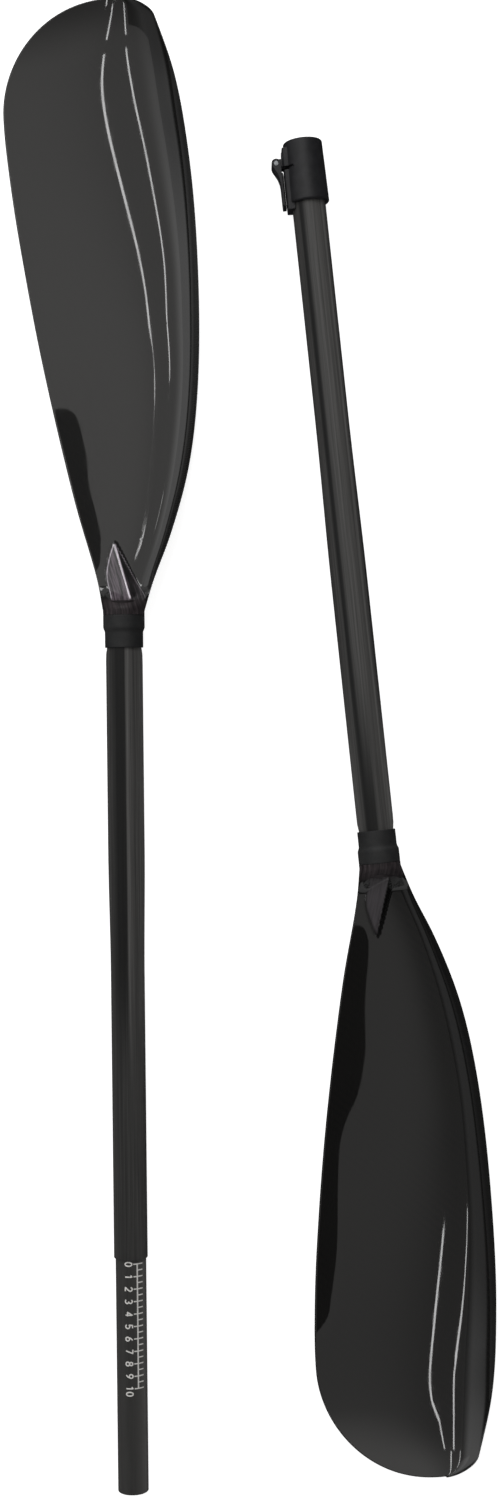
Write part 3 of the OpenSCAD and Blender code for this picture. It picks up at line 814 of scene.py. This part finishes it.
# The right shaft ends this far inside the clamp
HIDDEN = COLLAR_LEN - COLLAR_HOLD
left_shaft = shaft_solid(LEFT_LEN, (160, 100), FERRULE_IN)
right_shaft = shaft_solid(RIGHT_LEN - HIDDEN, (195, 140), SOCKET_DEPTH - HIDDEN)
tubes = [
    ("left_tube", left_shaft, "left_half", "left_shaft_carbon_painted_light", "shaft_carbon", "left_shaft"),
    ("right_tube", right_shaft, "right_half", "right_shaft_carbon_painted_light", "shaft_carbon", "right_shaft"),
    ("left_sleeve", sleeve_solid(), "left_half", "black_rubber", "black_rubber", "left_neck_sleeve"),
    ("right_sleeve", sleeve_solid(), "right_half", "black_rubber", "black_rubber", "right_neck_sleeve"),
    ("ferrule", ferrule_solid(), "left_half", "ferrule_carbon", "ferrule_carbon", "ferrule_tube"),
]
for name, (points, faces), body, material, slot, node in tubes:
    placing = left_half if body == "left_half" else right_half
    make_piece(name, points, faces, placing, body, MATERIALS[material], [node])

# --- Clamp ------------------------------------------------------------------------------


# The share of its faces that a softened copy keeps
KEPT_FACES = 0.4


def softened(name, node, body, slot, voxel=0.3, passes=5):
    """A moulded copy of a frame part: a finer skin over its shape with every edge rounded off."""
    source = frame["nodes"][node]
    mesh = source.data.copy()
    mesh.transform(source.matrix_world)
    bm = bmesh.new()
    bm.from_mesh(mesh)
    bmesh.ops.remove_doubles(bm, verts=bm.verts, dist=1e-6)
    bm.to_mesh(mesh)
    bm.free()
    rough_cut = bpy.data.objects.new("rough_cut", mesh)
    bpy.context.scene.collection.objects.link(rough_cut)
    skin = rough_cut.modifiers.new("skin", "REMESH")
    skin.mode = "VOXEL"
    skin.voxel_size = voxel * MM
    soft = rough_cut.modifiers.new("soft", "SMOOTH")
    soft.factor = 0.5
    soft.iterations = passes
    thin = rough_cut.modifiers.new("thin", "DECIMATE")
    thin.ratio = KEPT_FACES
    final = bpy.data.meshes.new_from_object(rough_cut.evaluated_get(bpy.context.evaluated_depsgraph_get()))
    bpy.data.objects.remove(rough_cut)
    final.polygons.foreach_set("use_smooth", [True] * len(final.polygons))
    final.materials.clear()
    final.materials.append(MATERIALS[slot])
    obj = bpy.data.objects.new(name, final)
    bpy.context.scene.collection.objects.link(obj)
    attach(obj, body)
    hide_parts(node)


softened("collar", "clamp_collar", "right_half", "black_plastic")
softened("clamp_lever", "cam_lever", "lever", "black_plastic", 0.2, 3)
softened("clamp_pin", "lever_pin", "right_half", "pin_steel", 0.15, 3)

# --- Printed scale on the ferrule ---------------------------------------------------------

# A place on the scale is (s, y): s is how far it is round the ferrule from its top
INK_H = 0.02
ZERO_Y = -520.0
TICKS = 21
TICK_STEP = 5.0
AXIS_S, TICK_S, LONG_S = 5.8, 10.9, 2.6
DIGIT_S, DIGIT_H = -4.5, 6.3
HALF_PITCH = 2.3
TEN_SHIFT = 2.0
AXIS_W, TICK_W, DIGIT_W = 1.2, 0.95, 1.05


def arc(cx, cy, rx, ry, start, end):
    """Points along an arc, from one angle in degrees to another."""
    turn = np.radians(np.linspace(start, end, 2 + int(abs(end - start) / 20)))
    return list(zip(cx + rx * np.cos(turn), cy + ry * np.sin(turn)))


# Plain figures as strokes in a box 0.6 wide and 1 high
DIGITS = {
    "0": [arc(0.3, 0.5, 0.24, 0.44, 90, 450)],
    "1": [[(0.12, 0.76), (0.34, 0.94), (0.34, 0.06)]],
    "2": [arc(0.3, 0.70, 0.24, 0.24, 165, -40) + [(0.06, 0.06), (0.56, 0.06)]],
    "3": [arc(0.28, 0.71, 0.22, 0.23, 150, -90), arc(0.28, 0.27, 0.25, 0.22, 90, -150)],
    "4": [[(0.43, 0.06), (0.43, 0.94), (0.05, 0.32), (0.57, 0.32)]],
    "5": [[(0.52, 0.94), (0.14, 0.94), (0.10, 0.55)] + arc(0.29, 0.32, 0.25, 0.26, 135, -150)],
    "6": [arc(0.30, 0.30, 0.24, 0.24, 0, 360), [(0.44, 0.94), (0.20, 0.68), (0.065, 0.34)]],
    "7": [[(0.06, 0.94), (0.54, 0.94), (0.22, 0.06)]],
    "8": [arc(0.3, 0.72, 0.20, 0.21, 90, 450), arc(0.3, 0.28, 0.24, 0.23, 90, 450)],
    "9": [arc(0.30, 0.70, 0.24, 0.24, 0, 360), [(0.535, 0.66), (0.40, 0.32), (0.16, 0.06)]],
}


def wrapped(s, y, r):
    """A point that far round the ferrule from its top."""
    return r * np.sin(s / FERRULE_R), y, r * np.cos(s / FERRULE_R)


def stroke(path, width):
    """A thin solid ribbon of ink along a path of (s, y)."""
    path = np.asarray(path, float)
    fine = [path[0]]
    for p, q in zip(path, path[1:]):
        n = max(1, int(np.ceil(np.linalg.norm(q - p) / 0.6)))
        fine += [p + (q - p) * (i + 1) / n for i in range(n)]
    fine = np.array(fine)
    ahead = np.gradient(fine, axis=0)
    ahead /= np.linalg.norm(ahead, axis=1, keepdims=True)
    side = ahead[:, ::-1] * (-1, 1) * width / 2
    top, low = [], []
    for p, d in zip(fine, side):
        edges = [p + d * k for k in (-1, 0, 1)]
        top.append([wrapped(*e, FERRULE_R + INK_H) for e in edges])
        low.append([wrapped(*e, FERRULE_R - INK_H) for e in edges])
    return slab(np.array(top), np.array(low))


scale_end = ZERO_Y - TICK_STEP * (TICKS - 1)
marks = [stroke([(AXIS_S, ZERO_Y + 0.5), (AXIS_S, scale_end - 0.5)], AXIS_W)]
for tick in range(TICKS):
    level = ZERO_Y - TICK_STEP * tick
    marks.append(stroke([(LONG_S if tick % 2 == 0 else AXIS_S, level), (TICK_S, level)], TICK_W))
    if tick % 2:
        continue
    label = str(tick // 2)
    for index, figure in enumerate(label):
        middle = level + (len(label) - 1 - 2 * index) * HALF_PITCH - (TEN_SHIFT if len(label) > 1 else 0)
        for line in DIGITS[figure]:
            path = [(DIGIT_S + gy * DIGIT_H, middle - (gx - 0.3) * DIGIT_H) for gx, gy in line]
            marks.append(stroke(path, DIGIT_W))
points, faces = joined(*marks)
make_piece("printed_scale", points, faces, left_half, "left_half", MATERIALS["scale_ink"],
           sharp=30)

# --- Stage -----------------------------------------------------------------------------

# From here on lengths are in metres
CAMERA = (-0.00058, -0.00147, 1.70)
SENSOR = 36.0
PICTURE_PX = 1500
# The picture's scale, and the height that it holds at
PX_PER_MM = 1.25
SCALE_Z = 0.022
ROOM_HALF = 9.0
ROOM_H = 12.0
square = [(x * ROOM_HALF, y * ROOM_HALF) for x, y in ((-1, -1), (1, -1), (1, 1), (-1, 1))]

floor_mesh = bpy.data.meshes.new("floor")
floor_mesh.from_pydata([(x, y, 0) for x, y in square], [], [(0, 1, 2, 3)])
floor = bpy.data.objects.new("floor", floor_mesh)
bpy.context.scene.collection.objects.link(floor)
paper = Nodes("paper")
px, py, pz = paper.in_object()
fibres = paper.noise(paper.join(px, py, pz), 0.8, 3.0)
paper.finish(paper.mix(fibres, (0.60, 0.60, 0.60, 1), (0.62, 0.62, 0.62, 1)), 0.9,
             Specular_IOR_Level=0.1, Emission_Color=(1, 1, 1, 1), Emission_Strength=0.85)
floor_mesh.materials.append(paper.mat)
# Pale walls far around, for the camera only
wall_mesh = bpy.data.meshes.new("walls")
corners = [(x, y, z) for z in (-0.1, ROOM_H) for x, y in square]
wall_mesh.from_pydata(corners, [], [(0, 1, 5, 4), (1, 2, 6, 5), (2, 3, 7, 6), (3, 0, 4, 7), (4, 5, 6, 7)])
walls = bpy.data.objects.new("walls", wall_mesh)
bpy.context.scene.collection.objects.link(walls)
wall_paint = Nodes("wall_paint")
wx, wy, wz = wall_paint.in_object()
haze = wall_paint.noise(wall_paint.join(wx, wy, wz), 0.0004, 2.0)
wall_paint.finish(wall_paint.mix(haze, (0.3, 0.3, 0.3, 1), (0.34, 0.34, 0.34, 1)), 1.0,
                  Emission_Color=(0.93, 0.94, 0.95, 1), Emission_Strength=0.8)
wall_mesh.materials.append(wall_paint.mat)
for ray in ("diffuse", "glossy", "transmission", "volume_scatter", "shadow"):
    setattr(walls, f"visible_{ray}", False)
# Gloss takes its reflections from the room, which is dark low down, and not from the bright paper
floor.visible_glossy = False

camera_data = bpy.data.cameras.new("camera")
camera = bpy.data.objects.new("camera", camera_data)
bpy.context.scene.collection.objects.link(camera)
camera_data.sensor_fit = "VERTICAL"
camera_data.sensor_height = SENSOR
camera_data.lens = SENSOR * (CAMERA[2] - SCALE_Z) / MM * PX_PER_MM / PICTURE_PX
camera_data.clip_start = 0.05
camera_data.clip_end = 20
camera.location = CAMERA
bpy.context.scene.camera = camera
bpy.context.scene.view_settings.view_transform = "Standard"

LIGHT_H = 3.0
TUBE_DROP = 0.02
TUBE_RADIANCE = 11.0
END_RADIANCE = 7.0


def panel(name, x0, x1, y0, y1, radiance, height=LIGHT_H):
    """A rectangular light facing down; radiance is what a mirror under it would show."""
    data = bpy.data.lights.new(name, "AREA")
    data.shape = "RECTANGLE"
    data.size, data.size_y = x1 - x0, y1 - y0
    data.energy = radiance * math.pi * data.size * data.size_y
    lamp = bpy.data.objects.new(name, data)
    bpy.context.scene.collection.objects.link(lamp)
    lamp.location = ((x0 + x1) / 2, (y0 + y1) / 2, height)
    return lamp


# The soft box: brighter over the left half than over the right, and towards its own right side
soft = Nodes(panel("soft_box", -2.0, 1.62, -1.9, 1.9, 1.0).data)
lx, ly, _ = soft.parts(soft.node("ShaderNodeNewGeometry", "Position"))
off_far = soft.ramp(lx, -0.25, 0.95, 0.62, 1.0)
off_near = soft.ramp(lx, 0.05, 1.55, 0.19, 0.50)
far = soft.ramp(ly, -0.35, 0.35)
amount = soft.math("ADD", soft.math("MULTIPLY", off_far, far),
                   soft.math("MULTIPLY", off_near, soft.math("SUBTRACT", 1.0, far)))
# It has a dark corner and a screen in front of another part, and it fades towards its left edge
corner = soft.math("MULTIPLY", soft.math("GREATER_THAN", lx, 0.87), soft.math("GREATER_THAN", ly, 0.75))
screen = soft.math("MULTIPLY", soft.math("LESS_THAN", lx, -0.62), soft.math("LESS_THAN", ly, 0.12))
for dark, left_over in ((corner, 0.0), (screen, 0.1)):
    amount = soft.math("MULTIPLY", amount, soft.spread(dark, 0.0, 1.0, 1.0, left_over))
amount = soft.math("MULTIPLY", amount, soft.ramp(lx, -2.0, -0.9, 0.72, 1.0))
soft.put(amount, soft.tree.nodes["Emission"].inputs["Strength"])
soft.tree.nodes["Emission"].inputs["Color"].default_value = (1, 0.985, 0.965, 1)
# A bright panel beyond the top of the picture
panel("end_light", -1.3, 0.4, 2.0, 6.0, END_RADIANCE)

# Thin tubes of light just under the soft box: half the width, and the (X, Y) points that short straight
# lamps join; None leaves a break in the chain
TUBES = {
    "left_a": (0.018, [(-0.08, -0.09), (-0.02, 0.25), None, (-0.01, 0.36), (-0.01, 0.70), (0.0, 0.83),
                       (0.03, 0.97), (0.055, 1.085), (0.110, 1.181)]),
    "left_b": (0.018, [(-0.50, -0.09), (-0.515, 0.23), None, (-0.50, 0.34), (-0.53, 0.55), (-0.54, 0.66),
                       (-0.50, 0.95), (-0.46, 1.09), (-0.48, 1.186)]),
    "neck_a": (0.006, [(-0.065, 1.262), (0.10, 1.238)]),
    "neck_b": (0.006, [(-0.77, 1.35), (-0.68, 1.42)]),
    "right_a": (0.016, [(0.41, -0.87), (0.355, -0.66), (0.348, -0.56), (0.315, -0.46), (0.255, -0.40),
                        (0.19, -0.35), (0.12, -0.11)]),
    "right_b": (0.022, [(-0.48, -0.92), (-0.28, -0.66), (-0.12, -0.56), (-0.17, -0.37), (-0.175, -0.11)]),
}
for name, (wide, stops) in TUBES.items():
    for i, (start, end) in enumerate(zip(stops, stops[1:])):
        if start is None or end is None:
            continue
        (x0, y0), (x1, y1) = start, end
        long = math.hypot(x1 - x0, y1 - y0)
        lamp = panel(f"{name}_{i}", -wide, wide, -long / 2, long / 2, TUBE_RADIANCE, LIGHT_H - TUBE_DROP)
        lamp.location.x, lamp.location.y = (x0 + x1) / 2, (y0 + y1) / 2
        lamp.rotation_euler.z = math.atan2(x0 - x1, y1 - y0)

# The room: bright on the side that the blades' curled edges face, dim on the other
world = bpy.data.worlds.new("world")
bpy.context.scene.world = world
room = Nodes(world)
dx, dy, dz = room.parts(room.node("ShaderNodeTexCoord", "Generated"))
side_light = room.ramp(dx, -0.5, -0.2, 1.0, 0.05)
side_light = room.math("MULTIPLY", side_light, room.ramp(dz, 0.16, 0.36, 0.03, 1.15))
side_light = room.math("MULTIPLY", side_light, room.ramp(dy, -0.15, 0.15, 0.3, 1.12))
near_ends = room.ramp(room.math("ABSOLUTE", dy), 0.6, 0.85, 0.0, 0.6)
ends = room.math("MULTIPLY", near_ends, room.ramp(dz, -0.1, 0.05))
room.put(room.math("MAXIMUM", side_light, ends), room.tree.nodes["Background"].inputs[1])
room.tree.nodes["Background"].inputs[0].default_value = (1, 1, 1, 1)
